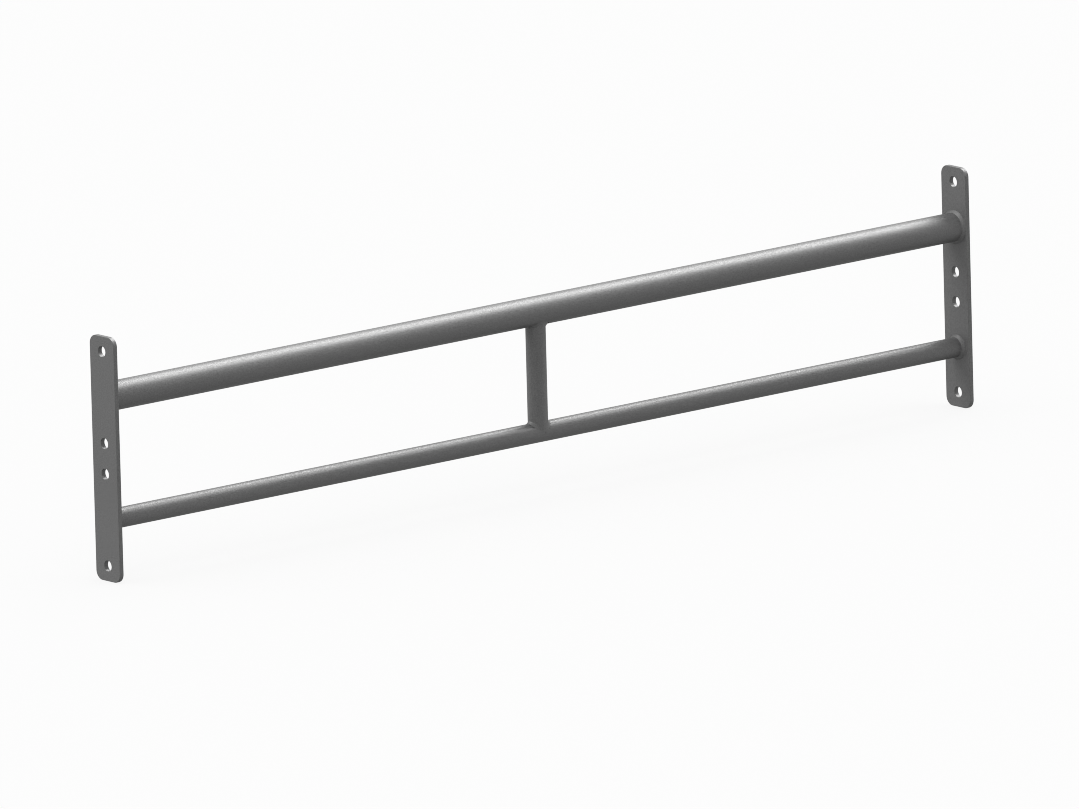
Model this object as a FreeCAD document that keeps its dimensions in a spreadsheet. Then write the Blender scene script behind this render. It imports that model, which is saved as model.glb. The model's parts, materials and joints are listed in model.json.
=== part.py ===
"""Kip bar: two round grip bars welded between two drilled end plates, with a spacer tube at mid length.

The frame bolts between two uprights of a training rig through the holes in its end plates.
Frame: origin at the middle of the object, +X along the bars, +Z up. All sizes are in millimetres.
"""
import FreeCAD, Part
import math
import os

import Sketcher

DOC = FreeCAD.newDocument("kip_bar")

# Driving dimensions: name, value, what it is.
DIMENSIONS = [
    ("overall_length", 1800, "outer face to outer face of the end plates"),
    ("bar_spacing", 200, "upper bar's axis to lower bar's axis, centred on the end plates"),
    ("plate_width", 60, "end plate, front to back"),
    ("plate_height", 400, "end plate, top to bottom"),
    ("plate_thickness", 8, "end plate, flat bar stock"),
    ("plate_corner_radius", 15, "end plate corners"),
    ("plate_edge_round", 1, "rounded edge of the flat bar, all round both faces"),
    ("bolt_hole_diameter", 18, "clearance hole for an M16 bolt"),
    ("hole_end_distance", 25, "plate's end to the centre of its top or bottom hole"),
    ("inner_hole_pitch", 50, "centre to centre of the two middle holes"),
    ("thick_tube_diameter", 48, "upper bar, outside"),
    ("thick_tube_wall", 3, "upper bar, wall"),
    ("thin_tube_diameter", 33, "lower bar and spacer, cut from the same tube, outside"),
    ("thin_tube_wall", 3, "lower bar and spacer, wall"),
    ("cope_tip_thickness", 0.5, "blunt tip left on the spacer's coped ends"),
    ("weld_leg", 4.5, "leg of every fillet weld, along each of its two surfaces"),
    ("saddle_weld_cap", 0.4, "how far the spacer's welds bulge beyond a flat face"),
    ("saddle_weld_root", 1.5, "how deep in the walls the spacer's welds start before they are cut back"),
]

UPPER_BAR_HEIGHT = "dims.bar_spacing / 2"
LOWER_BAR_HEIGHT = "-dims.bar_spacing / 2"
PLATE_INNER_FACE = "(dims.overall_length / 2 - dims.plate_thickness)"

# How Sketcher numbers a sketch's origin and axes, and the points of a line, arc or circle.
ORIGIN_POINT = (-1, 1)
VERTICAL_AXIS = -2
START, END, CENTRE = 1, 2, 3

UP = FreeCAD.Vector(0, 0, 1)
ALONG_Y = FreeCAD.Vector(0, 1, 0)
SADDLE_STEPS = 16


def make_sheet(rows):
    """The spreadsheet of driving dimensions; column A names each value, B holds it, C says what it is."""
    sheet = DOC.addObject("Spreadsheet::Sheet", "dims")
    for row, (alias, value, meaning) in enumerate(rows, start=1):
        sheet.set(f"A{row}", alias)
        sheet.set(f"B{row}", str(value))
        sheet.set(f"C{row}", meaning)
        sheet.setAlias(f"B{row}", alias)
    DOC.recompute()
    return sheet


DIMS = make_sheet(DIMENSIONS)


def new_body(label):
    """An empty body whose label is its node name."""
    body = DOC.addObject("PartDesign::Body", label)
    body.Label = label
    return body


def new_sketch(body, name, role):
    """A sketch on one of the body's own origin planes."""
    plane = next(item for item in body.Origin.OriginFeatures if item.Role == role)
    sketch = body.newObject("Sketcher::SketchObject", name)
    sketch.AttachmentSupport = (plane, [""])
    sketch.MapMode = "FlatFace"
    return sketch


def constrain(sketch, name, formula, *definition):
    """Add a dimension to a sketch under a name and tie it to the sheet."""
    index = sketch.addConstraint(Sketcher.Constraint(*definition))
    sketch.renameConstraint(index, name)
    sketch.setExpression(f"Constraints.{name}", formula)


def add_circle(sketch, radius, height=0):
    """A circle on the sketch's vertical axis; its radius and height are only first values."""
    return sketch.addGeometry(Part.Circle(FreeCAD.Vector(0, height, 0), UP, radius), False)


def place_on_centreline(sketch, name, circle, formula, height):
    """Hold a circle's centre on the sketch's vertical axis, this far above or below the origin."""
    sketch.addConstraint(Sketcher.Constraint("PointOnObject", circle, CENTRE, VERTICAL_AXIS))
    centre = (circle, CENTRE)
    ends = (*ORIGIN_POINT, *centre) if height > 0 else (*centre, *ORIGIN_POINT)
    constrain(sketch, name, formula, "DistanceY", *ends, abs(height))


def add_rounded_rectangle(sketch):
    """The end plate's outline, centred on the sketch's origin."""
    radius = DIMS.plate_corner_radius
    middle_x = DIMS.plate_width / 2 - radius
    middle_y = DIMS.plate_height / 2 - radius
    arcs = []
    for side_x, side_y, start in ((1, 1, 0), (-1, 1, 90), (-1, -1, 180), (1, -1, 270)):
        circle = Part.Circle(FreeCAD.Vector(side_x * middle_x, side_y * middle_y, 0), UP, radius)
        corner = Part.ArcOfCircle(circle, math.radians(start), math.radians(start + 90))
        arcs.append(sketch.addGeometry(corner, False))
    lines = []
    for here, following in zip(arcs, arcs[1:] + arcs[:1]):
        ends = (sketch.getPoint(here, END), sketch.getPoint(following, START))
        line = sketch.addGeometry(Part.LineSegment(*ends), False)
        sketch.addConstraint(Sketcher.Constraint("Tangent", here, END, line, START))
        sketch.addConstraint(Sketcher.Constraint("Tangent", line, END, following, START))
        lines.append(line)
    top, left, bottom, right = lines
    for arc in arcs[1:]:
        sketch.addConstraint(Sketcher.Constraint("Equal", arcs[0], arc))
    sketch.addConstraint(Sketcher.Constraint("Horizontal", top))
    sketch.addConstraint(Sketcher.Constraint("Vertical", left))
    sketch.addConstraint(Sketcher.Constraint("Symmetric", top, START, bottom, START, *ORIGIN_POINT))
    across = (left, START, right, END)
    upward = (bottom, START, top, END)
    constrain(sketch, "corner_radius", "dims.plate_corner_radius", "Radius", arcs[0], radius)
    constrain(sketch, "width", "dims.plate_width", "DistanceX", *across, DIMS.plate_width)
    constrain(sketch, "height", "dims.plate_height", "DistanceY", *upward, DIMS.plate_height)


def add_bolt_holes(sketch):
    """Four bolt holes on the plate's centreline: one near each end and two about the middle."""
    end_formula = "dims.plate_height / 2 - dims.hole_end_distance"
    end_height = DIMS.plate_height / 2 - DIMS.hole_end_distance
    middle_formula = "dims.inner_hole_pitch / 2"
    middle_height = DIMS.inner_hole_pitch / 2
    holes = [
        ("top_hole", end_formula, end_height),
        ("upper_middle_hole", middle_formula, middle_height),
        ("lower_middle_hole", middle_formula, -middle_height),
        ("bottom_hole", end_formula, -end_height),
    ]
    circles = []
    for name, formula, height in holes:
        circle = add_circle(sketch, DIMS.bolt_hole_diameter / 2, height)
        place_on_centreline(sketch, name, circle, formula, height)
        circles.append(circle)
    for circle in circles[1:]:
        sketch.addConstraint(Sketcher.Constraint("Equal", circles[0], circle))
    diameter = DIMS.bolt_hole_diameter
    constrain(sketch, "hole_diameter", "dims.bolt_hole_diameter", "Diameter", circles[0], diameter)


def make_end_plate(label, position):
    """A flat bar blank with its outline and holes cut in one go, then its outer edges rounded."""
    body = new_body(label)
    blank = new_sketch(body, label + "_blank", "YZ_Plane")
    add_rounded_rectangle(blank)
    add_bolt_holes(blank)
    plate = body.newObject("PartDesign::Pad", label + "_plate")
    plate.Profile = blank
    plate.setExpression("Length", "dims.plate_thickness")
    DOC.recompute()
    outline = []
    for number, edge in enumerate(plate.Shape.Edges, start=1):
        on_a_face = edge.BoundBox.XLength < 1e-6
        whole_circle = len(edge.Vertexes) == 1
        if on_a_face and not whole_circle:
            outline.append(f"Edge{number}")
    rounds = body.newObject("PartDesign::Fillet", label + "_edges")
    rounds.Base = (plate, outline)
    rounds.setExpression("Radius", "dims.plate_edge_round")
    body.setExpression("Placement.Base.x", position)
    return body


def add_tube_profile(sketch, tube):
    """Two circles about the sketch's origin, the outside and the bore of the thick or the thin tube."""
    outside_diameter = getattr(DIMS, f"{tube}_diameter")
    bore_diameter = outside_diameter - 2 * getattr(DIMS, f"{tube}_wall")
    bore_formula = f"dims.{tube}_diameter - 2 * dims.{tube}_wall"
    outside = add_circle(sketch, outside_diameter / 2)
    bore = add_circle(sketch, bore_diameter / 2)
    for circle in (outside, bore):
        sketch.addConstraint(Sketcher.Constraint("Coincident", circle, CENTRE, *ORIGIN_POINT))
    constrain(sketch, "outside", f"dims.{tube}_diameter", "Diameter", outside, outside_diameter)
    constrain(sketch, "bore", bore_formula, "Diameter", bore, bore_diameter)


def make_bar(label, tube, height):
    """A grip bar: a tube cut square, from the inner face of one end plate to the other's."""
    body = new_body(label)
    section = new_sketch(body, label + "_section", "YZ_Plane")
    add_tube_profile(section, tube)
    length = body.newObject("PartDesign::Pad", label + "_tube")
    length.Profile = section
    length.SideType = "Symmetric"
    length.setExpression("Length", f"2 * {PLATE_INNER_FACE}")
    body.setExpression("Placement.Base.z", height)
    return body


def cope_tip_height(bar_tube):
    """Formula for how far from a bar's axis the spacer is cut off, so that its coped tips end blunt."""
    tip_reach = "(dims.thin_tube_diameter / 2 - dims.cope_tip_thickness)"
    return f"sqrt((dims.{bar_tube}_diameter / 2) ^ 2 - {tip_reach} ^ 2)"


def make_spacer():
    """The spacer: a length of the thin tube, notched by each bar's cylinder so that it seats all round."""
    body = new_body("spacer_tube")
    section = new_sketch(body, "spacer_section", "XY_Plane")
    add_tube_profile(section, "thin_tube")
    upper_tip = cope_tip_height("thick_tube")
    lower_tip = cope_tip_height("thin_tube")
    section.setExpression("AttachmentOffset.Base.z", f"{LOWER_BAR_HEIGHT} + {lower_tip}")
    blank = body.newObject("PartDesign::Pad", "spacer_blank")
    blank.Profile = section
    blank.setExpression("Length", f"dims.bar_spacing - {lower_tip} - {upper_tip}")
    for name, tube, side in (("lower_cope", "thin_tube", -1), ("upper_cope", "thick_tube", 1)):
        diameter = getattr(DIMS, f"{tube}_diameter")
        height = side * DIMS.bar_spacing / 2
        notch = new_sketch(body, name + "_notch", "YZ_Plane")
        circle = add_circle(notch, diameter / 2, height)
        place_on_centreline(notch, "height", circle, "dims.bar_spacing / 2", height)
        constrain(notch, "diameter", f"dims.{tube}_diameter", "Diameter", circle, diameter)
        cope = body.newObject("PartDesign::Pocket", name)
        cope.Profile = notch
        cope.SideType = "Symmetric"
        cope.setExpression("Length", "2 * dims.thin_tube_diameter")
    return body


def make_ring_weld(label, tube, height, side):
    """A flat-faced fillet weld round a bar's end: a cone about the bar, trimmed where the plate ends."""
    radius = f"dims.{tube}_diameter / 2"
    foot = f"{radius} + dims.weld_leg"
    seat = PLATE_INNER_FACE if side > 0 else f"-{PLATE_INNER_FACE}"
    away_from_plate = FreeCAD.Placement(FreeCAD.Vector(), FreeCAD.Rotation(ALONG_Y, -90 * side))
    cone = DOC.addObject("Part::Cone", label + "_cone")
    cone.setExpression("Radius1", foot)
    cone.setExpression("Radius2", radius)
    core = DOC.addObject("Part::Cylinder", label + "_core")
    core.setExpression("Radius", radius)
    for round_part in (cone, core):
        round_part.setExpression("Height", "dims.weld_leg")
        round_part.Placement = away_from_plate
        round_part.setExpression("Placement.Base.x", seat)
        round_part.setExpression("Placement.Base.z", height)
    ring = DOC.addObject("Part::Cut", label + "_ring")
    ring.Base = cone
    ring.Tool = core
    room = DOC.addObject("Part::Box", label + "_room")
    room.setExpression("Length", "dims.weld_leg")
    room.setExpression("Width", "dims.plate_width")
    room.setExpression("Height", f"2 * ({foot})")
    room.setExpression("Placement.Base.x", f"{seat} - dims.weld_leg" if side > 0 else seat)
    room.setExpression("Placement.Base.y", "-dims.plate_width / 2")
    room.setExpression("Placement.Base.z", f"{height} - ({foot})")
    weld = DOC.addObject("Part::Common", label)
    weld.Label = label
    weld.Base = ring
    weld.Tool = room
    return weld


def saddle_section(angle, bar_radius, spacer_radius):
    """Cross-section of a spacer weld, in the upright plane through the spacer's axis at this angle to +X.

    The bar's axis is at height 0 and the spacer stands on it. The face is a shallow arc from the toe on the
    spacer to the toe on the bar, each a leg's length from the corner between them. Both toes and the root
    lie inside the tubes' walls, so that cutting the tubes away leaves weld that touches them all round.
    """
    outward = FreeCAD.Vector(math.cos(angle), math.sin(angle), 0)
    across = spacer_radius * math.sin(angle)
    corner_height = math.sqrt(bar_radius**2 - across**2)
    corner = spacer_radius * outward + corner_height * UP
    corner_normal = FreeCAD.Vector(0, across, corner_height).normalize()
    down_bar = (corner_height * outward - across * math.sin(angle) * UP).normalize()
    spacer_toe = corner + DIMS.weld_leg * UP
    past_corner = corner + DIMS.weld_leg * down_bar
    toe_normal = FreeCAD.Vector(0, past_corner.y, past_corner.z).normalize()
    bar_toe = FreeCAD.Vector(past_corner.x, 0, 0) + bar_radius * toe_normal
    face_normal = (outward + corner_normal).normalize()
    crown = (spacer_toe + bar_toe) / 2 + DIMS.saddle_weld_cap * face_normal
    root = corner - DIMS.saddle_weld_root * face_normal
    buried_spacer_toe = spacer_toe - DIMS.saddle_weld_cap * outward
    buried_bar_toe = bar_toe - DIMS.saddle_weld_cap * toe_normal
    face = Part.Arc(buried_spacer_toe, crown, buried_bar_toe).toShape()
    bar_side = Part.LineSegment(buried_bar_toe, root).toShape()
    spacer_side = Part.LineSegment(root, buried_spacer_toe).toShape()
    return Part.Wire([face, bar_side, spacer_side])


def make_saddle_weld(label, bar, bar_diameter, spacer, side):
    """The weld round one end of the spacer: lofted over each half of the saddle, then cut to the tubes."""
    radii = (bar_diameter / 2, DIMS.thin_tube_diameter / 2)
    angles = [math.radians(180 * step / SADDLE_STEPS - 90) for step in range(SADDLE_STEPS + 1)]
    half = Part.makeLoft([saddle_section(angle, *radii) for angle in angles], True, False)
    other_half = half.mirror(FreeCAD.Vector(), FreeCAD.Vector(1, 0, 0))
    saddle = half.fuse(other_half)
    if side > 0:
        saddle.rotate(FreeCAD.Vector(), ALONG_Y, 180)
    saddle.translate(FreeCAD.Vector(0, 0, side * DIMS.bar_spacing / 2))
    feature = DOC.addObject("Part::Feature", label)
    feature.Label = label
    feature.Shape = saddle.cut([bar.Shape, spacer.Shape])
    return feature


def make_parts():
    """Every piece of the frame, in the order it is put together."""
    left_plate = make_end_plate("left_end_plate", "-dims.overall_length / 2")
    right_plate = make_end_plate("right_end_plate", PLATE_INNER_FACE)
    upper_bar = make_bar("upper_bar", "thick_tube", UPPER_BAR_HEIGHT)
    lower_bar = make_bar("lower_bar", "thin_tube", LOWER_BAR_HEIGHT)
    spacer = make_spacer()
    pieces = [left_plate, right_plate, upper_bar, lower_bar, spacer]
    bar_ends = (("upper", "thick_tube", UPPER_BAR_HEIGHT), ("lower", "thin_tube", LOWER_BAR_HEIGHT))
    for level, tube, height in bar_ends:
        pieces.append(make_ring_weld(f"{level}_left_weld", tube, height, -1))
        pieces.append(make_ring_weld(f"{level}_right_weld", tube, height, 1))
    DOC.recompute()
    pieces.append(make_saddle_weld("spacer_upper_weld", upper_bar, DIMS.thick_tube_diameter, spacer, 1))
    pieces.append(make_saddle_weld("spacer_lower_weld", lower_bar, DIMS.thin_tube_diameter, spacer, -1))
    DOC.recompute()
    return pieces


def check_document(pieces):
    """Stop if any object failed to compute or any piece isn't one valid closed solid."""
    for item in DOC.Objects:
        if "Invalid" in item.State or "Error" in item.State:
            raise RuntimeError(f"{item.Label} failed to compute")
    for piece in pieces:
        shape = piece.Shape
        if shape.isNull() or not shape.isValid() or len(shape.Solids) != 1 or not shape.Solids[0].isClosed():
            raise RuntimeError(f"{piece.Label} is not one valid closed solid")


def write_parts(pieces):
    """One STEP file for each piece, named for it."""
    os.makedirs("parts", exist_ok=True)
    for piece in pieces:
        piece.Shape.exportStep(f"parts/{piece.Label}.step")


def print_sizes(pieces):
    """Each piece's volume and box, for the builder to read."""
    for piece in pieces:
        box = piece.Shape.optimalBoundingBox()
        spans = (box.XMin, box.XMax, box.YMin, box.YMax, box.ZMin, box.ZMax)
        print(f"{piece.Label:20s} {piece.Shape.Volume:10.1f} mm3 ", *(f"{edge:8.2f}" for edge in spans))


PIECES = make_parts()
check_document(PIECES)
write_parts(PIECES)
print_sizes(PIECES)
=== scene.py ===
"""Kip bar: the finished look of a welded and powder-coated steel frame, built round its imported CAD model.

Two round grip bars, one thick and one thin, run between two drilled end plates, with a spacer tube at mid
length. Every visible piece is made here at full smoothness, in metres, in the CAD model's own frame.
"""
import json
import math

import bmesh
import bpy
from mathutils import Matrix, Vector


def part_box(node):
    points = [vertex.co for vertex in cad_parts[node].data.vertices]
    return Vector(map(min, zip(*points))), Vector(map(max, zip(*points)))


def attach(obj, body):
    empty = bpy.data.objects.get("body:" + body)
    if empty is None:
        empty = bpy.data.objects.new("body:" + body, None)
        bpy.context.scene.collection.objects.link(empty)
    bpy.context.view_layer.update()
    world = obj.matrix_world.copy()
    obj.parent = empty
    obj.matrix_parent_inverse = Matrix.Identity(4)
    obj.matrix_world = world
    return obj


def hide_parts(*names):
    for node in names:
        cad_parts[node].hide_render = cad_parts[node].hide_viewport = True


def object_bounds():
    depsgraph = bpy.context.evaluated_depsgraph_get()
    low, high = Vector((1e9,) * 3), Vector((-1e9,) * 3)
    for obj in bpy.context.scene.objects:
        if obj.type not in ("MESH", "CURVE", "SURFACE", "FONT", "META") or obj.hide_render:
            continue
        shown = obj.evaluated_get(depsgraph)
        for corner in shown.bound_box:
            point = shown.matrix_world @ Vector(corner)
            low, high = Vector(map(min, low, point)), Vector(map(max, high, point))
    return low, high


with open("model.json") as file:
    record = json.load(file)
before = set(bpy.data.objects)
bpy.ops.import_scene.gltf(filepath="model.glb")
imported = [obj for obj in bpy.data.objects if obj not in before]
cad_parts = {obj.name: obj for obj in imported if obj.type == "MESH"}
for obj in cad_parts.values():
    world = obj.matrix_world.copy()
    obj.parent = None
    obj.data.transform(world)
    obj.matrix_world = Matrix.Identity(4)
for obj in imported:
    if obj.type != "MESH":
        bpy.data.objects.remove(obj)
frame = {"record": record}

bl_info = {
    "name": "Kip Bar",
    "version": (1, 0, 0),
    "blender": (4, 5, 0),
    "location": "3D View > Sidebar > Kip Bar",
    "description": "Builds a powder-coated kip bar and a plain studio round its CAD frame",
    "category": "Object",
}

BODY = "root"
MILLIMETRE = 0.001
# Faces that meet at more than this are shaded with a sharp edge between them.
CREASE = math.radians(40)
BEAD_CREASE = math.radians(50)
# Points of one seam that lie closer than this are one point.
SEAM_GAP = 0.0005 * MILLIMETRE
DOUBLED_GAP = 0.01 * MILLIMETRE
# Half the step from one point's or row's number to the next, so that rounding can't take one for the other.
HALF_NUMBER = 0.5
CAD_LOW, CAD_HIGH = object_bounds()
MOUNTS = {mount["name"]: mount for mount in frame["record"]["mounts"]}


# ---------------------------------------------------------------------------------------------------------
# Sizes read from the CAD frame


def node_span(node, axis):
    """How long a CAD node is along one axis."""
    low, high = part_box(node)
    return high[axis] - low[axis]


def bar_line(node):
    """A bar's height above the origin and its outside radius."""
    low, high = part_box(node)
    return (low.z + high.z) / 2, (high.z - low.z) / 2


def bolt_heights():
    """Heights of a plate's bolt holes, which lie on its centreline."""
    heights = []
    for name in ("left_outer_bolts", "left_inner_bolts"):
        half_pitch = MOUNTS[name]["dims"]["spacing_y_mm"] * MILLIMETRE / 2
        heights += [half_pitch, -half_pitch]
    return sorted(heights)


# ---------------------------------------------------------------------------------------------------------
# Settings that a user would change


class KipBarSizes(bpy.types.PropertyGroup):
    """Sizes that the CAD frame's boxes don't give."""

    corner_radius: bpy.props.FloatProperty(
        name="Corner Radius", description="Rounded corners of the end plates",
        default=0.015, unit="LENGTH")
    edge_round: bpy.props.FloatProperty(
        name="Edge Round", description="Rounded edge of the flat bar that the end plates are cut from",
        default=0.001, unit="LENGTH")
    hole_break: bpy.props.FloatProperty(
        name="Hole Break", description="Burr taken off the rim of each bolt hole",
        default=0.0003, unit="LENGTH")
    tube_wall: bpy.props.FloatProperty(
        name="Tube Wall", description="Wall of the bars and of the spacer",
        default=0.003, unit="LENGTH")
    cope_tip: bpy.props.FloatProperty(
        name="Cope Tip", description="Blunt tip left on the spacer's coped ends",
        default=0.0005, unit="LENGTH")
    weld_leg: bpy.props.FloatProperty(
        name="Weld Leg", description="How far a weld reaches along its bar, and along its plate",
        default=node_span("upper_left_weld", 0), unit="LENGTH")
    weld_crown: bpy.props.FloatProperty(
        name="Weld Crown", description="How far the face of a plate's weld bulges",
        default=0.00025, unit="LENGTH")
    saddle_crown: bpy.props.FloatProperty(
        name="Saddle Crown",
        description="How far the face of a spacer's weld bulges, or is hollow if negative",
        default=-0.0004, unit="LENGTH")
    saddle_climb: bpy.props.FloatProperty(
        name="Saddle Climb", description="How far a spacer's weld climbs the spacer",
        default=0.0042, unit="LENGTH")
    ripple_pitch: bpy.props.FloatProperty(
        name="Ripple Pitch", description="Distance between the ripples of a weld",
        default=0.0022, unit="LENGTH")
    ripple_height: bpy.props.FloatProperty(
        name="Ripple Height", description="How far the ripples stand out under the coating",
        default=0.00006, unit="LENGTH")


class KipBarCoat(bpy.types.PropertyGroup):
    """The powder coating."""

    colour: bpy.props.StringProperty(
        name="Colour", description="Coating colour as an sRGB hex value", default="#595959")
    roughness: bpy.props.FloatProperty(
        name="Roughness", description="Middle roughness of the satin coating",
        default=0.47, min=0, max=1, subtype="FACTOR")
    peel_size: bpy.props.FloatProperty(
        name="Peel Size", description="Distance from one bump of the coating's orange peel to the next",
        default=0.0035, unit="LENGTH")
    peel_depth: bpy.props.FloatProperty(
        name="Peel Depth", description="How deep the coating's orange peel is",
        default=0.00001, unit="LENGTH")
    grain_size: bpy.props.FloatProperty(
        name="Grain Size", description="Distance from one grain of the coating to the next",
        default=0.0022, unit="LENGTH")
    grain_depth: bpy.props.FloatProperty(
        name="Grain Depth", description="How deep the coating's grain is",
        default=0.00012, unit="LENGTH")
    drift_size: bpy.props.FloatProperty(
        name="Drift Size", description="Distance over which the coating's tone drifts",
        default=0.16, unit="LENGTH")


class KipBarStage(bpy.types.PropertyGroup):
    """Camera, floor and studio light."""

    azimuth: bpy.props.FloatProperty(
        name="Azimuth", description="How far the camera stands round to the left of the bars' front",
        default=math.radians(39.773), subtype="ANGLE")
    elevation: bpy.props.FloatProperty(
        name="Elevation", description="How far the camera looks down",
        default=math.radians(12.188), subtype="ANGLE")
    roll: bpy.props.FloatProperty(
        name="Roll", description="How far the camera is turned about its own line of sight",
        default=math.radians(-1.512), subtype="ANGLE")
    distance: bpy.props.FloatProperty(
        name="Distance", description="Camera to the middle of the kip bar", default=52.5, unit="LENGTH")
    lens: bpy.props.FloatProperty(
        name="Lens", description="Focal length on a 36 mm sensor", default=1087.2, unit="CAMERA")
    slide: bpy.props.FloatVectorProperty(
        name="Slide", description="Camera moved right and up from where it would centre the kip bar",
        default=(0.00466, -0.05298), size=2, unit="LENGTH")


class KipBarSettings(bpy.types.PropertyGroup):
    """Everything that the panel shows."""

    sizes: bpy.props.PointerProperty(type=KipBarSizes)
    coat: bpy.props.PointerProperty(type=KipBarCoat)
    stage: bpy.props.PointerProperty(type=KipBarStage)


# ---------------------------------------------------------------------------------------------------------
# Node helpers


def add_node(tree, kind, settings=None, inputs=None, place=(0, 0)):
    """Add a node, set its own properties, and set each of its inputs or link it to another node's output."""
    node = tree.nodes.new(kind)
    node.location = place
    for key, value in (settings or {}).items():
        setattr(node, key, value)
    for key, value in (inputs or {}).items():
        if isinstance(value, bpy.types.NodeSocket):
            tree.links.new(value, node.inputs[key])
        else:
            node.inputs[key].default_value = value
    return node


def open_tree(name, sockets, result):
    """A new Geometry Nodes tree with these inputs and one output, and its inputs by name.

    The builders add each of their sums' results to those names. A row of sums is the result's name, the
    operation and its terms, and a term is a number or a name.
    """
    tree = bpy.data.node_groups.new(name, "GeometryNodeTree")
    for label, kind in sockets:
        tree.interface.new_socket(label, in_out="INPUT", socket_type=kind)
    tree.interface.new_socket(result, in_out="OUTPUT", socket_type="NodeSocketGeometry")
    inputs = add_node(tree, "NodeGroupInput").outputs
    return tree, {label: inputs[label] for label, _ in sockets}


def end_tree(tree, geometry, known, result):
    """Close the grid's seams, realize it, give it its material and send it out."""
    merged = add_node(tree, "GeometryNodeMergeByDistance", {}, {"Geometry": geometry, "Distance": SEAM_GAP})
    plain = add_node(tree, "GeometryNodeRealizeInstances", {}, {"Geometry": merged.outputs[0]})
    coated = add_node(tree, "GeometryNodeSetMaterial", {},
                      {"Geometry": plain.outputs[0], "Material": known["Material"]})
    add_node(tree, "NodeGroupOutput", {}, {result: coated.outputs[0]})


def linear_colour(hex_colour):
    """An sRGB hex colour as linear red, green, blue and alpha."""
    values = [int(hex_colour[start:start + 2], 16) / 255 for start in (1, 3, 5)]
    return (*(v / 12.92 if v <= 0.04045 else ((v + 0.055) / 1.055) ** 2.4 for v in values), 1)


# ---------------------------------------------------------------------------------------------------------
# Material

# The noise lies between these for nearly all of its area.
NOISE_LOW, NOISE_HIGH = 0.2, 0.8
# Least and most of the grain's specks and of the slow drift, as shares of the coating's colour.
SPECK_RANGE = (0.8, 1.2)
DRIFT_RANGE = (0.96, 1.04)
# Least and most roughness over the grain, as shares of the coating's own.
SATIN_RANGE = (0.6, 1.4)
# How far the coat turns from the eye, 0 to 1, as its shine fades, and the shine before and after.
FADE_START, FADE_END = 0.45, 0.9
FULL_SHINE, FADED_SHINE = 0.5, 0.18
RESIN_IOR = 1.5


def powder_coated_steel(coat):
    """Dark grey polyester powder, sprayed on blasted steel and baked to a satin finish.

    The eye gets a soft, wide highlight from the satin resin, broken up by the shallow orange peel that the
    powder sets into as it flows, and a fine dry grain from the matting agent. The grain is drawn coarser
    than the real one, which would be too fine to show.
    """
    name = "powder_coated_steel"
    found = bpy.data.materials.get(name)
    if found:
        return found
    material = bpy.data.materials.new(name)
    material.use_nodes = True
    tree = material.node_tree
    tree.nodes.clear()
    place = add_node(tree, "ShaderNodeTexCoord", place=(-1100, 0)).outputs["Object"]
    peel = add_node(tree, "ShaderNodeTexNoise", {},
                    {"Vector": place, "Scale": 1 / coat.peel_size, "Detail": 2, "Roughness": 0.45}, (-850, 0))
    grain = add_node(tree, "ShaderNodeTexNoise", {},
                     {"Vector": place, "Scale": 1 / coat.grain_size, "Detail": 1, "Roughness": 0.6},
                     (-850, -250))
    drift = add_node(tree, "ShaderNodeTexNoise", {},
                     {"Vector": place, "Scale": 1 / coat.drift_size, "Detail": 3}, (-850, 250))
    least, most = SPECK_RANGE
    speck = add_node(tree, "ShaderNodeMapRange", {},
                     {"Value": grain.outputs["Fac"], "From Min": NOISE_LOW, "From Max": NOISE_HIGH,
                      "To Min": least, "To Max": most}, (-600, -200)).outputs["Result"]
    least, most = DRIFT_RANGE
    tone = add_node(tree, "ShaderNodeMapRange", {},
                    {"Value": drift.outputs["Fac"], "To Min": least, "To Max": most}, (-600, 250))
    tone = tone.outputs["Result"]
    tone = add_node(tree, "ShaderNodeMath", {"operation": "MULTIPLY"}, {0: tone, 1: speck}, (-450, 250))
    colour = add_node(tree, "ShaderNodeVectorMath", {"operation": "SCALE"},
                      {0: linear_colour(coat.colour)[:3], "Scale": tone.outputs["Value"]}, (-350, 250))
    least, most = SATIN_RANGE
    satin = add_node(tree, "ShaderNodeMapRange", {},
                     {"Value": grain.outputs["Fac"], "From Min": NOISE_LOW, "From Max": NOISE_HIGH,
                      "To Min": least * coat.roughness, "To Max": most * coat.roughness}, (-600, 0))
    peel_bump = add_node(tree, "ShaderNodeBump", {},
                         {"Height": peel.outputs["Fac"], "Strength": 1, "Distance": coat.peel_depth},
                         (-350, -50))
    grain_bump = add_node(tree, "ShaderNodeBump", {},
                          {"Height": grain.outputs["Fac"], "Normal": peel_bump.outputs["Normal"],
                           "Strength": 1, "Distance": coat.grain_depth}, (-150, -250))
    facing = add_node(tree, "ShaderNodeLayerWeight", {}, {"Blend": 0.5}, (-350, 500)).outputs["Facing"]
    # The fine texture hides the resin's shine at low angles, so a tube goes a little darker at its rims.
    shine = add_node(tree, "ShaderNodeMapRange", {},
                     {"Value": facing, "From Min": FADE_START, "From Max": FADE_END, "To Min": FULL_SHINE,
                      "To Max": FADED_SHINE}, (-150, 500))
    shine = add_node(tree, "ShaderNodeMath", {"operation": "MULTIPLY"},
                     {0: shine.outputs["Result"], 1: speck}, (-50, 450))
    shader = add_node(tree, "ShaderNodeBsdfPrincipled", {},
                      {"Base Color": linear_colour(coat.colour), "Roughness": coat.roughness,
                       "IOR": RESIN_IOR, "Metallic": 0, "Normal": grain_bump.outputs["Normal"],
                       "Specular IOR Level": shine.outputs["Value"]}, (50, 0))
    tree.links.new(colour.outputs["Vector"], shader.inputs["Base Color"])
    tree.links.new(satin.outputs["Result"], shader.inputs["Roughness"])
    add_node(tree, "ShaderNodeOutputMaterial", {}, {"Surface": shader.outputs["BSDF"]}, (350, 0))
    return material


# ---------------------------------------------------------------------------------------------------------
# Mesh helpers


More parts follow.
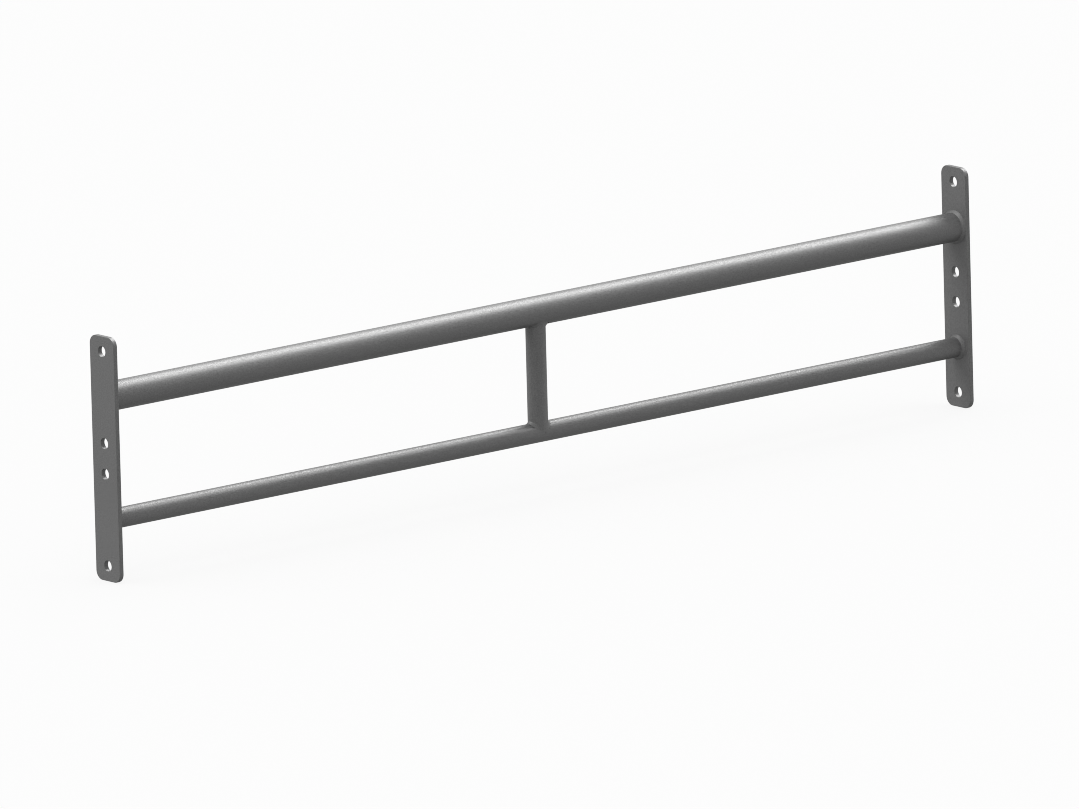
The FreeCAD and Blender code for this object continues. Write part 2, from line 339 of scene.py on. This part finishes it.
def circle_angles(count):
    """Evenly spaced angles once round."""
    return [2 * math.pi * step / count for step in range(count)]


def round_loop(radius, height, x, count):
    """Evenly spaced points round a circle in the plane at x, with its middle at this height."""
    return [Vector((x, radius * math.cos(a), height + radius * math.sin(a))) for a in circle_angles(count)]


def loop_faces(first, second):
    """Quads between two closed loops of vertex numbers."""
    count = len(first)
    return [
        (first[i], first[(i + 1) % count], second[(i + 1) % count], second[i])
        for i in range(count)
    ]


def mesh_from_loops(name, loops):
    """A mesh skinned over closed loops of points in order, and from the last loop back to the first."""
    points = [point for loop in loops for point in loop]
    count = len(loops[0])
    numbers = [range(start, start + count) for start in range(0, len(points), count)]
    following = numbers[1:] + numbers[:1]
    faces = [face for first, second in zip(numbers, following) for face in loop_faces(first, second)]
    mesh = bpy.data.meshes.new(name)
    mesh.from_pydata(points, [], faces)
    return mesh


def face_outwards(mesh):
    """Merge doubled points and turn every face outwards."""
    work = bmesh.new()
    work.from_mesh(mesh)
    bmesh.ops.remove_doubles(work, verts=work.verts, dist=DOUBLED_GAP)
    bmesh.ops.recalc_face_normals(work, faces=work.faces)
    work.to_mesh(mesh)
    work.free()


def shade(mesh, crease):
    """Smooth shading, with a sharp edge wherever two faces meet at more than this angle."""
    mesh.shade_smooth()
    mesh.set_sharp_from_angle(angle=crease)


def evaluated_mesh(piece, name):
    """The piece's mesh with its modifiers worked in, as plain data."""
    graph = bpy.context.evaluated_depsgraph_get()
    made = bpy.data.meshes.new_from_object(piece.evaluated_get(graph))
    made.name = name
    return made


def add_piece(name, mesh):
    """An object at the origin with this mesh."""
    piece = bpy.data.objects.new(name, mesh)
    bpy.context.scene.collection.objects.link(piece)
    return piece


def check_closed(piece):
    """Raise an error unless every edge of the piece joins exactly two faces."""
    work = bmesh.new()
    work.from_mesh(piece.data)
    faces = len(work.faces)
    loose = sum(not edge.is_manifold for edge in work.edges)
    work.free()
    if loose or not faces:
        raise RuntimeError(f"{piece.name} isn't a closed solid: {faces} faces, {loose} open edges")


def sweep_mesh(piece, tree, values):
    """Run a Geometry Nodes tree on a piece and keep its result as the piece's plain mesh, faced outwards."""
    modifier = piece.modifiers.new(tree.name, "NODES")
    modifier.node_group = tree
    for item in tree.interface.items_tree:
        if item.in_out == "INPUT" and item.name in values:
            modifier[item.identifier] = values[item.name]
    made = evaluated_mesh(piece, piece.name)
    piece.modifiers.remove(modifier)
    piece.data = made
    face_outwards(made)


def fit_piece(piece, node, coat):
    """Coat a finished piece, fix it to the frame and let it stand for its CAD node."""
    check_closed(piece)
    piece.data.materials.clear()
    piece.data.materials.append(powder_coated_steel(coat))
    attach(piece, BODY)
    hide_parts(node)


# ---------------------------------------------------------------------------------------------------------
# End plates

CORNER_STEPS = 12
EDGE_STEPS = 4
HOLE_STEPS = 64
FLAT_FACE_WEIGHT = 100


def rounded_rectangle(half_width, half_height, radius, x):
    """Points round a rectangle with round corners, in the plane at x."""
    points = []
    for side_y, side_z, start in ((1, 1, 0), (-1, 1, 90), (-1, -1, 180), (1, -1, 270)):
        for step in range(CORNER_STEPS + 1):
            angle = math.radians(start + 90 * step / CORNER_STEPS)
            y = side_y * (half_width - radius) + radius * math.cos(angle)
            z = side_z * (half_height - radius) + radius * math.sin(angle)
            points.append(Vector((x, y, z)))
    return points


def end_plate_mesh(node, sizes):
    """Flat bar with round corners, rounded edges and four bolt holes whose rims are just broken."""
    low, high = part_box(node)
    half_width, half_height = high.y, high.z
    edge = sizes.edge_round
    levels = []
    for step in range(EDGE_STEPS + 1):
        turn = math.radians(90 * step / EDGE_STEPS)
        levels.append((edge * (1 - math.sin(turn)), edge * (1 - math.cos(turn))))
    outline = [(low.x + depth, inset) for inset, depth in levels]
    outline += [(high.x - depth, inset) for inset, depth in reversed(levels)]
    outer = [
        rounded_rectangle(half_width - inset, half_height - inset, sizes.corner_radius - inset, x)
        for x, inset in outline
    ]
    work = bmesh.new()
    outer_rings = [[work.verts.new(point) for point in loop] for loop in outer]
    rims = {0: [outer_rings[0]], 1: [outer_rings[-1]]}
    stacks = [outer_rings]
    hole_radius = MOUNTS["left_outer_bolts"]["dims"]["hole_r_mm"] * MILLIMETRE
    rim = sizes.hole_break
    for height in bolt_heights():
        steps = [(low.x, rim), (low.x + rim, 0), (high.x - rim, 0), (high.x, rim)]
        rings = [
            [work.verts.new(point) for point in round_loop(hole_radius + extra, height, x, HOLE_STEPS)]
            for x, extra in steps
        ]
        stacks.append(rings)
        rims[0].append(rings[0])
        rims[1].append(rings[-1])
    for rings in stacks:
        for first, second in zip(rings, rings[1:]):
            for quad in loop_faces(first, second):
                work.faces.new(quad)
    for loops in rims.values():
        edges = [work.edges.get((a, b)) for loop in loops for a, b in zip(loop, loop[1:] + loop[:1])]
        bmesh.ops.triangle_fill(work, edges=edges, use_beauty=True)
    mesh = bpy.data.meshes.new(node)
    work.to_mesh(mesh)
    work.free()
    face_outwards(mesh)
    return mesh


def level_normals(piece):
    """Give a piece normals that follow its large faces, so that they shade flat up to their rounded edges."""
    weighting = piece.modifiers.new("level_normals", "WEIGHTED_NORMAL")
    weighting.mode = "FACE_AREA"
    weighting.weight = FLAT_FACE_WEIGHT
    weighting.keep_sharp = True
    made = evaluated_mesh(piece, piece.name)
    piece.modifiers.remove(weighting)
    piece.data = made


class KIPBAR_OT_end_plates(bpy.types.Operator):
    """Build the two drilled end plates"""

    bl_idname = "kip_bar.end_plates"
    bl_label = "End Plates"

    def execute(self, context):
        settings = context.scene.kip_bar
        for side in ("left", "right"):
            node = f"{side}_end_plate"
            mesh = end_plate_mesh(node, settings.sizes)
            shade(mesh, CREASE)
            piece = add_piece(f"{side}_plate", mesh)
            level_normals(piece)
            fit_piece(piece, node, settings.coat)
        return {"FINISHED"}


# ---------------------------------------------------------------------------------------------------------
# Tubes

TUBE_STEPS = 128
# Rows of the grid that wraps once round a tube's wall, and the middle of the two that each of these takes.
TUBE_ROWS = 5
INSIDE_ROWS = 2.5
HEAD_ROWS = 1.5
ROW_REACH = 0.6


def bar_mesh(node, wall):
    """A hollow round bar along X, cut square at both ends."""
    low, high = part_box(node)
    height, outside = bar_line(node)
    inside = outside - wall
    ends = ((low.x, outside), (high.x, outside), (high.x, inside), (low.x, inside))
    mesh = mesh_from_loops(node, [round_loop(radius, height, x, TUBE_STEPS) for x, radius in ends])
    face_outwards(mesh)
    return mesh


class KIPBAR_OT_grip_bars(bpy.types.Operator):
    """Build the thick upper and the thin lower grip bar"""

    bl_idname = "kip_bar.grip_bars"
    bl_label = "Grip Bars"

    def execute(self, context):
        settings = context.scene.kip_bar
        for level in ("upper", "lower"):
            node = f"{level}_bar"
            mesh = bar_mesh(node, settings.sizes.tube_wall)
            shade(mesh, CREASE)
            fit_piece(add_piece(f"{level}_grip_bar", mesh), node, settings.coat)
        return {"FINISHED"}


def coped_tube_tree():
    """Geometry Nodes: an upright tube whose two ends follow the round bars that it stands between.

    It is a grid wrapped round the tube's wall. Its rows are the outside's foot and head, the inside's head
    and foot, and the outside's foot once more.
    """
    tree, known = open_tree("coped_tube", [
        ("Steps", "NodeSocketInt"), ("Radius", "NodeSocketFloat"), ("Wall", "NodeSocketFloat"),
        ("Tip", "NodeSocketFloat"), ("Upper Height", "NodeSocketFloat"),
        ("Upper Radius", "NodeSocketFloat"), ("Lower Height", "NodeSocketFloat"),
        ("Lower Radius", "NodeSocketFloat"), ("Material", "NodeSocketMaterial"),
    ], "Tube")
    known["number"] = add_node(tree, "GeometryNodeInputIndex").outputs[0]
    for name, operation, *terms in (
        ("columns", "ADD", "Steps", 1),
        ("row", "MODULO", "number", TUBE_ROWS),
        ("part", "ADD", "number", HALF_NUMBER),
        ("part", "DIVIDE", "part", TUBE_ROWS),
        ("column", "FLOOR", "part"),
        ("turn", "DIVIDE", "column", "Steps"),
        ("angle", "MULTIPLY", "turn", 2 * math.pi),
        ("cosine", "COSINE", "angle"),
        ("sine", "SINE", "angle"),
        ("inside", "COMPARE", "row", INSIDE_ROWS, ROW_REACH),
        ("head", "COMPARE", "row", HEAD_ROWS, ROW_REACH),
        ("inset", "MULTIPLY", "Wall", "inside"),
        ("radius", "SUBTRACT", "Radius", "inset"),
        ("x", "MULTIPLY", "radius", "cosine"),
        ("y", "MULTIPLY", "radius", "sine"),
        ("y squared", "MULTIPLY", "y", "y"),
        ("tip", "SUBTRACT", "Radius", "Tip"),
        ("tip squared", "MULTIPLY", "tip", "tip"),
        ("reach squared", "MINIMUM", "y squared", "tip squared"),
        ("upper squared", "MULTIPLY", "Upper Radius", "Upper Radius"),
        ("upper left", "SUBTRACT", "upper squared", "reach squared"),
        ("upper drop", "SQRT", "upper left"),
        ("top", "SUBTRACT", "Upper Height", "upper drop"),
        ("lower squared", "MULTIPLY", "Lower Radius", "Lower Radius"),
        ("lower left", "SUBTRACT", "lower squared", "reach squared"),
        ("lower rise", "SQRT", "lower left"),
        ("bottom", "ADD", "Lower Height", "lower rise"),
        ("span", "SUBTRACT", "top", "bottom"),
        ("lift", "MULTIPLY", "span", "head"),
        ("z", "ADD", "bottom", "lift"),
    ):
        inputs = {slot: known.get(term, term) for slot, term in enumerate(terms)}
        known[name] = add_node(tree, "ShaderNodeMath", {"operation": operation}, inputs).outputs[0]
    grid = add_node(tree, "GeometryNodeMeshGrid", {},
                    {"Vertices X": known["columns"], "Vertices Y": TUBE_ROWS})
    place = add_node(tree, "ShaderNodeCombineXYZ", {}, {"X": known["x"], "Y": known["y"], "Z": known["z"]})
    tube = add_node(tree, "GeometryNodeSetPosition", {},
                    {"Geometry": grid.outputs["Mesh"], "Position": place.outputs[0]})
    end_tree(tree, tube.outputs[0], known, "Tube")
    return tree


class KIPBAR_OT_spacer(bpy.types.Operator):
    """Build the coped spacer tube between the bars"""

    bl_idname = "kip_bar.spacer"
    bl_label = "Spacer"

    def execute(self, context):
        settings = context.scene.kip_bar
        sizes = settings.sizes
        upper_height, upper_radius = bar_line("upper_bar")
        lower_height, lower_radius = bar_line("lower_bar")
        piece = add_piece("spacer", bpy.data.meshes.new("spacer"))
        sweep_mesh(piece, coped_tube_tree(), {
            "Steps": TUBE_STEPS, "Radius": node_span("spacer_tube", 0) / 2, "Wall": sizes.tube_wall,
            "Tip": sizes.cope_tip, "Upper Height": upper_height, "Upper Radius": upper_radius,
            "Lower Height": lower_height, "Lower Radius": lower_radius,
            "Material": powder_coated_steel(settings.coat),
        })
        shade(piece.data, CREASE)
        fit_piece(piece, "spacer_tube", settings.coat)
        return {"FINISHED"}


# ---------------------------------------------------------------------------------------------------------
# Welds

BEAD_STEPS = 480
FACE_STEPS = 10
# How far a bead's toes and corner lie inside the steel, so that no gap shows along them.
BURY = 0.06 * MILLIMETRE
# 1 spreads the face's points evenly from toe to toe; less crowds them, and the bulge, towards the bar's toe.
BEAD_SKEW = 0.9
# How many ripples the middle of the face runs ahead of its toes, and the range of the ripples' heights.
RIPPLE_BOW = 0.5
RIPPLE_RANGE = (0.5, 1.0)
PATH_VECTORS = ("bar_toe", "far_toe", "corner", "outward")
PATH_NUMBERS = ("ripple", "fullness")


def weld_bead_tree():
    """Geometry Nodes: a rippled fillet along a closed path of corner points.

    Each path point carries the two toes of the weld there (bar_toe and far_toe), the direction that the
    face looks in (outward), how many ripples have passed (ripple) and how much of the crown it has
    (fullness). The bead is a grid wrapped round that path: across it run the face's points from toe to toe,
    then the corner, and then the first toe once more.
    """
    tree, known = open_tree("weld_bead", [
        ("Path", "NodeSocketGeometry"), ("Face Steps", "NodeSocketInt"), ("Crown", "NodeSocketFloat"),
        ("Skew", "NodeSocketFloat"), ("Ripple Height", "NodeSocketFloat"), ("Seed", "NodeSocketInt"),
        ("Material", "NodeSocketMaterial"),
    ], "Bead")
    known["count"] = add_node(tree, "GeometryNodeAttributeDomainSize", {"component": "MESH"},
                              {"Geometry": known["Path"]}).outputs["Point Count"]
    known["number"] = add_node(tree, "GeometryNodeInputIndex").outputs[0]
    for name, operation, *terms in (
        ("columns", "ADD", "count", 1),
        ("rows", "ADD", "Face Steps", 3),
        ("part", "ADD", "number", HALF_NUMBER),
        ("part", "DIVIDE", "part", "rows"),
        ("column", "FLOOR", "part"),
        ("column", "MODULO", "column", "count"),
        ("row", "MODULO", "number", "rows"),
        ("face part", "DIVIDE", "row", "Face Steps"),
        ("face left", "SUBTRACT", 1, "face part"),
        ("bulge", "MULTIPLY", "face part", "face left"),
        ("bulge", "MULTIPLY", "bulge", 4),
        ("steepness", "DIVIDE", 1, "Skew"),
        ("share", "POWER", "face part", "steepness"),
    ):
        inputs = {slot: known.get(term, term) for slot, term in enumerate(terms)}
        known[name] = add_node(tree, "ShaderNodeMath", {"operation": operation}, inputs).outputs[0]
    for names, kind in ((PATH_VECTORS, "FLOAT_VECTOR"), (PATH_NUMBERS, "FLOAT")):
        for name in names:
            value = add_node(tree, "GeometryNodeInputNamedAttribute", {"data_type": kind}, {"Name": name})
            found = add_node(tree, "GeometryNodeSampleIndex", {"data_type": kind, "domain": "POINT"},
                             {"Geometry": known["Path"], "Value": value.outputs["Attribute"],
                              "Index": known["column"]})
            known[name] = found.outputs["Value"]
    for name, operation, *terms in (
        ("bow", "MULTIPLY", "bulge", RIPPLE_BOW),
        ("turn", "ADD", "ripple", "bow"),
        ("ripple number", "FLOOR", "turn"),
        ("phase", "MULTIPLY", "turn", math.pi),
        ("wave", "SINE", "phase"),
        ("wave", "ABSOLUTE", "wave"),
    ):
        inputs = {slot: known.get(term, term) for slot, term in enumerate(terms)}
        known[name] = add_node(tree, "ShaderNodeMath", {"operation": operation}, inputs).outputs[0]
    low, high = RIPPLE_RANGE
    uneven = add_node(tree, "FunctionNodeRandomValue", {"data_type": "FLOAT"},
                      {2: low, 3: high, "ID": known["ripple number"], "Seed": known["Seed"]})
    known["uneven"] = uneven.outputs[1]
    for name, operation, *terms in (
        ("wave", "MULTIPLY", "wave", "uneven"),
        ("height", "MULTIPLY", "wave", "Ripple Height"),
        ("height", "ADD", "Crown", "height"),
        ("lift", "MULTIPLY", "bulge", "fullness"),
        ("lift", "MULTIPLY", "lift", "height"),
        ("corner row", "ADD", "Face Steps", 1),
        ("last row", "ADD", "Face Steps", 2),
        ("is corner", "COMPARE", "row", "corner row", HALF_NUMBER),
        ("is last", "COMPARE", "row", "last row", HALF_NUMBER),
    ):
        inputs = {slot: known.get(term, term) for slot, term in enumerate(terms)}
        known[name] = add_node(tree, "ShaderNodeMath", {"operation": operation}, inputs).outputs[0]
    chord = add_node(tree, "ShaderNodeMix", {"data_type": "VECTOR", "clamp_factor": True},
                     {0: known["share"], 4: known["bar_toe"], 5: known["far_toe"]}).outputs[1]
    raised = add_node(tree, "ShaderNodeVectorMath", {"operation": "SCALE"},
                      {0: known["outward"], "Scale": known["lift"]}).outputs[0]
    place = add_node(tree, "ShaderNodeVectorMath", {"operation": "ADD"}, {0: chord, 1: raised}).outputs[0]
    for chosen, position in (("is corner", "corner"), ("is last", "bar_toe")):
        place = add_node(tree, "GeometryNodeSwitch", {"input_type": "VECTOR"},
                         {"Switch": known[chosen], "False": place, "True": known[position]}).outputs[0]
    grid = add_node(tree, "GeometryNodeMeshGrid", {},
                    {"Vertices X": known["columns"], "Vertices Y": known["rows"]})
    bead = add_node(tree, "GeometryNodeSetPosition", {},
                    {"Geometry": grid.outputs["Mesh"], "Position": place})
    end_tree(tree, bead.outputs[0], known, "Bead")
    return tree


def path_mesh(name, sections, pitch):
    """A closed path of corner points that carries what the weld bead needs at each of them."""
    corners = [section["corner"] for section in sections]
    steps = [(b - a).length for a, b in zip(corners, corners[1:] + corners[:1])]
    ripples = max(round(sum(steps) / pitch), 1)
    mesh = bpy.data.meshes.new(name)
    mesh.from_pydata(corners, [], [])
    for key in PATH_VECTORS:
        layer = mesh.attributes.new(key, "FLOAT_VECTOR", "POINT")
        layer.data.foreach_set("vector", [value for section in sections for value in section[key]])
    fullness = [section["fullness"] for section in sections]
    mesh.attributes.new("fullness", "FLOAT", "POINT").data.foreach_set("value", fullness)
    passed = [ripples * sum(steps[:i]) / sum(steps) for i in range(len(steps))]
    mesh.attributes.new("ripple", "FLOAT", "POINT").data.foreach_set("value", passed)
    return mesh


def ring_sections(tube_radius, centre, inward, leg):
    """The weld's sections round a bar's end, where it stands square on a plate."""
    sections = []
    for angle in circle_angles(BEAD_STEPS):
        radial = Vector((0, math.cos(angle), math.sin(angle)))
        along = Vector((inward, 0, 0))
        surface = centre + tube_radius * radial
        sections.append({
            "corner": surface - BURY * (radial + along),
            "bar_toe": surface + leg * along - BURY * radial,
            "far_toe": surface + leg * radial - BURY * along,
            "outward": (radial + along).normalized(),
            "fullness": 1,
        })
    return sections


def saddle_sections(spacer_radius, bar_radius, bar_height, upward, leg, climb):
    """The weld's sections round one end of the spacer, where it sits across a bar's curve."""
    sections = []
    up = Vector((0, 0, upward))
    for angle in circle_angles(BEAD_STEPS):
        outward = Vector((math.cos(angle), math.sin(angle), 0))
        across = spacer_radius * math.sin(angle)
        rise = math.sqrt(max(bar_radius**2 - across**2, 0))
        surface = spacer_radius * outward + rise * up
        bar_normal = Vector((0, across, rise * upward)).normalized()
        down_bar = (rise * outward - across * math.sin(angle) * up).normalized()
        past = surface + leg * down_bar
        toe_normal = Vector((0, past.y, past.z)).normalized()
        bar_toe = Vector((past.x, 0, 0)) + bar_radius * toe_normal
        face = (outward + bar_normal).normalized()
        opening = max(outward.dot(bar_normal), 0)
        centre = Vector((0, 0, bar_height))
        sections.append({
            "corner": centre + surface - 2 * BURY * face,
            "bar_toe": centre + bar_toe - BURY * toe_normal,
            "far_toe": centre + surface + climb * up - BURY * outward,
            "outward": face,
            "fullness": 1 - opening**2,
        })
    return sections


def build_bead(name, node, sections, crown, settings, seed):
    """Sweep a weld bead along its sections and fit it as a piece."""
    sizes = settings.sizes
    tree = bpy.data.node_groups.get("weld_bead") or weld_bead_tree()
    piece = add_piece(name, path_mesh(name, sections, sizes.ripple_pitch))
    sweep_mesh(piece, tree, {
        "Face Steps": FACE_STEPS, "Crown": crown, "Skew": BEAD_SKEW,
        "Ripple Height": sizes.ripple_height, "Seed": seed, "Material": powder_coated_steel(settings.coat),
    })
    shade(piece.data, BEAD_CREASE)
    fit_piece(piece, node, settings.coat)


class KIPBAR_OT_end_welds(bpy.types.Operator):
    """Build the fillet welds where the bars meet the end plates"""

    bl_idname = "kip_bar.end_welds"
    bl_label = "End Welds"

    def execute(self, context):
        settings = context.scene.kip_bar
        seed = 1
        for level in ("upper", "lower"):
            height, radius = bar_line(f"{level}_bar")
            low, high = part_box(f"{level}_bar")
            for side, x, inward in (("left", low.x, 1), ("right", high.x, -1)):
                centre = Vector((x, 0, height))
                sections = ring_sections(radius, centre, inward, settings.sizes.weld_leg)
                build_bead(f"{level}_{side}_bead", f"{level}_{side}_weld", sections,
                           settings.sizes.weld_crown, settings, seed)
                seed += 1
        return {"FINISHED"}


class KIPBAR_OT_saddle_welds(bpy.types.Operator):
    """Build the welds where the spacer meets the bars"""

    bl_idname = "kip_bar.saddle_welds"
    bl_label = "Saddle Welds"

    def execute(self, context):
        settings = context.scene.kip_bar
        spacer_radius = node_span("spacer_tube", 0) / 2
        for level, upward, seed in (("upper", -1, 5), ("lower", 1, 6)):
            height, radius = bar_line(f"{level}_bar")
            sections = saddle_sections(spacer_radius, radius, height, upward, settings.sizes.weld_leg,
                                       settings.sizes.saddle_climb)
            build_bead(f"spacer_{level}_bead", f"spacer_{level}_weld", sections,
                       settings.sizes.saddle_crown, settings, seed)
        return {"FINISHED"}


# ---------------------------------------------------------------------------------------------------------
# Stage

SENSOR_WIDTH = 36
# How far a point of the picture is spread over its neighbours.
FILM_SOFTNESS = 1.0
FLOOR_REACH = 90
# How much light the floor's sheet sends back, and how much comes through it from below.
FLOOR_ALBEDO = 0.16
FLOOR_GLOW = 0.84
# Each softbox's azimuth, elevation and width in degrees, and its strength.
SOFTBOXES = {
    "key_softbox": (79.0, 50.1, 41.1, 4.95),
    "side_softbox": (-66.0, 48.0, 41.1, 2.0),
}
# Elevation in degrees and brightness of the surround there.
SURROUND = ((-90, 0), (-25, 0.751), (10, 0.72), (90, 1.05))


def place_camera(stage):
    """A long lens with a small roll, far enough off that the two bars look parallel."""
    azimuth, elevation, roll = stage.azimuth, stage.elevation, stage.roll
    forward = Vector((math.sin(azimuth) * math.cos(elevation), math.cos(azimuth) * math.cos(elevation),
                      -math.sin(elevation)))
    level_right = Vector((math.cos(azimuth), -math.sin(azimuth), 0))
    level_up = level_right.cross(forward)
    right = math.cos(roll) * level_right + math.sin(roll) * level_up
    up = math.cos(roll) * level_up - math.sin(roll) * level_right
    data = bpy.data.cameras.new("camera")
    data.lens = stage.lens
    data.sensor_width = SENSOR_WIDTH
    data.clip_end = 4 * stage.distance
    camera = bpy.data.objects.new("camera", data)
    turn = Matrix((right, up, -forward)).transposed().to_4x4()
    place = right * stage.slide[0] + up * stage.slide[1] - forward * stage.distance
    camera.matrix_world = Matrix.Translation(place) @ turn
    bpy.context.scene.collection.objects.link(camera)
    bpy.context.scene.camera = camera


def backlit_acrylic():
    """White acrylic sheet lit from below.

    The eye gets an even white with only a trace of shadow, since most of the light comes through the sheet.
    """
    material = bpy.data.materials.new("backlit_white_acrylic")
    material.use_nodes = True
    tree = material.node_tree
    tree.nodes.clear()
    face = add_node(tree, "ShaderNodeBsdfDiffuse", {}, {"Color": (*[FLOOR_ALBEDO] * 3, 1)})
    glow = add_node(tree, "ShaderNodeEmission", {}, {"Strength": FLOOR_GLOW})
    both = add_node(tree, "ShaderNodeAddShader", {}, {0: face.outputs[0], 1: glow.outputs[0]}, (250, 0))
    add_node(tree, "ShaderNodeOutputMaterial", {}, {"Surface": both.outputs[0]}, (450, 0))
    return material


def lay_floor():
    """A wide white light table just under the plates' feet, whose own light reaches only the camera."""
    mesh = bpy.data.meshes.new("floor")
    corners = [(-1, -1), (1, -1), (1, 1), (-1, 1)]
    points = [(x * FLOOR_REACH, y * FLOOR_REACH, CAD_LOW.z) for x, y in corners]
    mesh.from_pydata(points, [], [(0, 1, 2, 3)])
    mesh.materials.append(backlit_acrylic())
    floor = add_piece("floor", mesh)
    floor.visible_diffuse = False
    floor.visible_glossy = False
    return floor


def direction(azimuth, elevation):
    """Unit vector to a point this far round from +Y towards +X, and this far up."""
    level = math.cos(elevation)
    return Vector((math.sin(azimuth) * level, math.cos(azimuth) * level, math.sin(elevation)))


def hang_softbox(name, unlit):
    """A round softbox far off in its own direction, which leaves out the things in the unlit collection."""
    *angles, strength = SOFTBOXES[name]
    azimuth, elevation, width = map(math.radians, angles)
    data = bpy.data.lights.new(name, "SUN")
    data.angle = width
    data.energy = strength
    light = bpy.data.objects.new(name, data)
    light.matrix_world = direction(azimuth, elevation).to_track_quat("Z", "Y").to_matrix().to_4x4()
    bpy.context.scene.collection.objects.link(light)
    light.light_linking.receiver_collection = unlit


def light_studio(floor):
    """Two softboxes on the kip bar in a surround that is dim below and brighter above."""
    unlit = bpy.data.collections.new("unlit_by_softboxes")
    unlit.objects.link(floor)
    for item in unlit.collection_objects:
        item.light_linking.link_state = "EXCLUDE"
    for name in SOFTBOXES:
        hang_softbox(name, unlit)
    world = bpy.data.worlds.new("studio")
    bpy.context.scene.world = world
    world.use_nodes = True
    tree = world.node_tree
    tree.nodes.clear()
    look = add_node(tree, "ShaderNodeTexCoord").outputs["Generated"]
    height = add_node(tree, "ShaderNodeSeparateXYZ", {}, {0: look}, (200, 0)).outputs["Z"]
    angle = add_node(tree, "ShaderNodeMath", {"operation": "ARCSINE"}, {0: height}, (400, 0)).outputs[0]
    share = add_node(tree, "ShaderNodeMapRange", {},
                     {"Value": angle, "From Min": -math.pi / 2, "From Max": math.pi / 2}, (600, 0))
    ramp = add_node(tree, "ShaderNodeValToRGB", {}, {"Fac": share.outputs["Result"]}, (800, 0))
    stops = ramp.color_ramp.elements
    brightest = max(level for _, level in SURROUND)
    while len(stops) < len(SURROUND):
        stops.new(0.5)
    for stop, (elevation, level) in zip(stops, SURROUND):
        stop.position = elevation / 180 + 0.5
        stop.color = (level / brightest, level / brightest, level / brightest, 1)
    shader = add_node(tree, "ShaderNodeBackground", {},
                      {"Color": ramp.outputs["Color"], "Strength": brightest}, (1100, 0))
    add_node(tree, "ShaderNodeOutputWorld", {}, {"Surface": shader.outputs[0]}, (1300, 0))
    bpy.context.scene.view_settings.view_transform = "Standard"
    bpy.context.scene.cycles.filter_width = FILM_SOFTNESS


class KIPBAR_OT_stage(bpy.types.Operator):
    """Set up the camera, floor and studio light"""

    bl_idname = "kip_bar.stage"
    bl_label = "Stage"

    def execute(self, context):
        place_camera(context.scene.kip_bar.stage)
        light_studio(lay_floor())
        return {"FINISHED"}


# ---------------------------------------------------------------------------------------------------------
# Panel, registration and the build itself

BUILD_STEPS = (
    KIPBAR_OT_stage,
    KIPBAR_OT_end_plates,
    KIPBAR_OT_grip_bars,
    KIPBAR_OT_spacer,
    KIPBAR_OT_end_welds,
    KIPBAR_OT_saddle_welds,
)


class KIPBAR_PT_build(bpy.types.Panel):
    """The build steps in order, and the settings they use"""

    bl_idname = "KIPBAR_PT_build"
    bl_label = "Kip Bar"
    bl_space_type = "VIEW_3D"
    bl_region_type = "UI"
    bl_category = "Kip Bar"

    def draw(self, context):
        settings = context.scene.kip_bar
        for step in BUILD_STEPS:
            self.layout.operator(step.bl_idname)
        for group in (settings.sizes, settings.coat, settings.stage):
            box = self.layout.box()
            for name in group.__annotations__:
                box.prop(group, name)


CLASSES = (KipBarSizes, KipBarCoat, KipBarStage, KipBarSettings, *BUILD_STEPS, KIPBAR_PT_build)


def register():
    for item in CLASSES:
        bpy.utils.register_class(item)
    bpy.types.Scene.kip_bar = bpy.props.PointerProperty(type=KipBarSettings)


def unregister():
    del bpy.types.Scene.kip_bar
    for item in reversed(CLASSES):
        bpy.utils.unregister_class(item)


def main():
    register()
    bpy.ops.kip_bar.stage()
    bpy.ops.kip_bar.end_plates()
    bpy.ops.kip_bar.grip_bars()
    bpy.ops.kip_bar.spacer()
    bpy.ops.kip_bar.end_welds()
    bpy.ops.kip_bar.saddle_welds()


if __name__ == "__main__":
    main()
